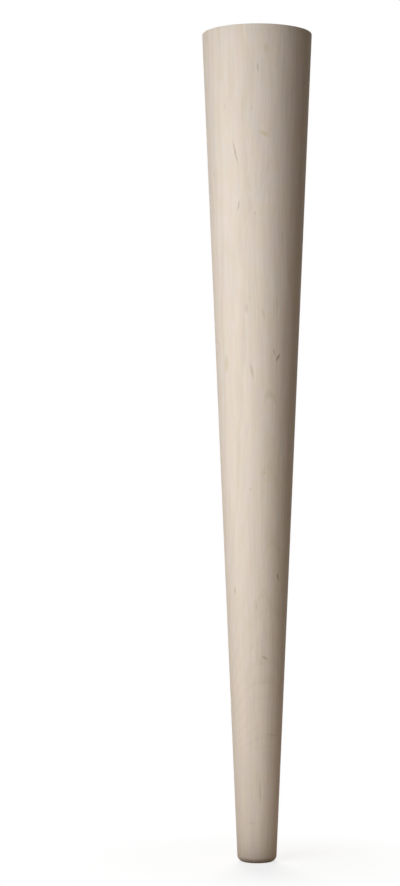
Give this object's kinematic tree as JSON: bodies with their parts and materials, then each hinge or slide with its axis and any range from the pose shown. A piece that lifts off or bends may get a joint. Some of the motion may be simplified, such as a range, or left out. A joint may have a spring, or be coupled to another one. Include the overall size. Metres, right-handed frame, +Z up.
{
  "type": "tapered wooden furniture leg",
  "caption": "Straight-tapered round furniture leg turned in bare pale hardwood, with a rounded foot and a blind pilot hole in its flat top.",
  "frame": {"origin": "centre of the foot, on the floor", "axes": "+Z up along the leg's own axis, from the foot to the top face; the leg is round, so +X and +Y are free"},
  "size_m": [0.0539, 0.054, 0.4064],
  "materials": {
    "bare_wood": "matte"
  },
  "bodies": {
    "root": {"tapered_leg": "bare_wood"}
  },
  "joints": []
}
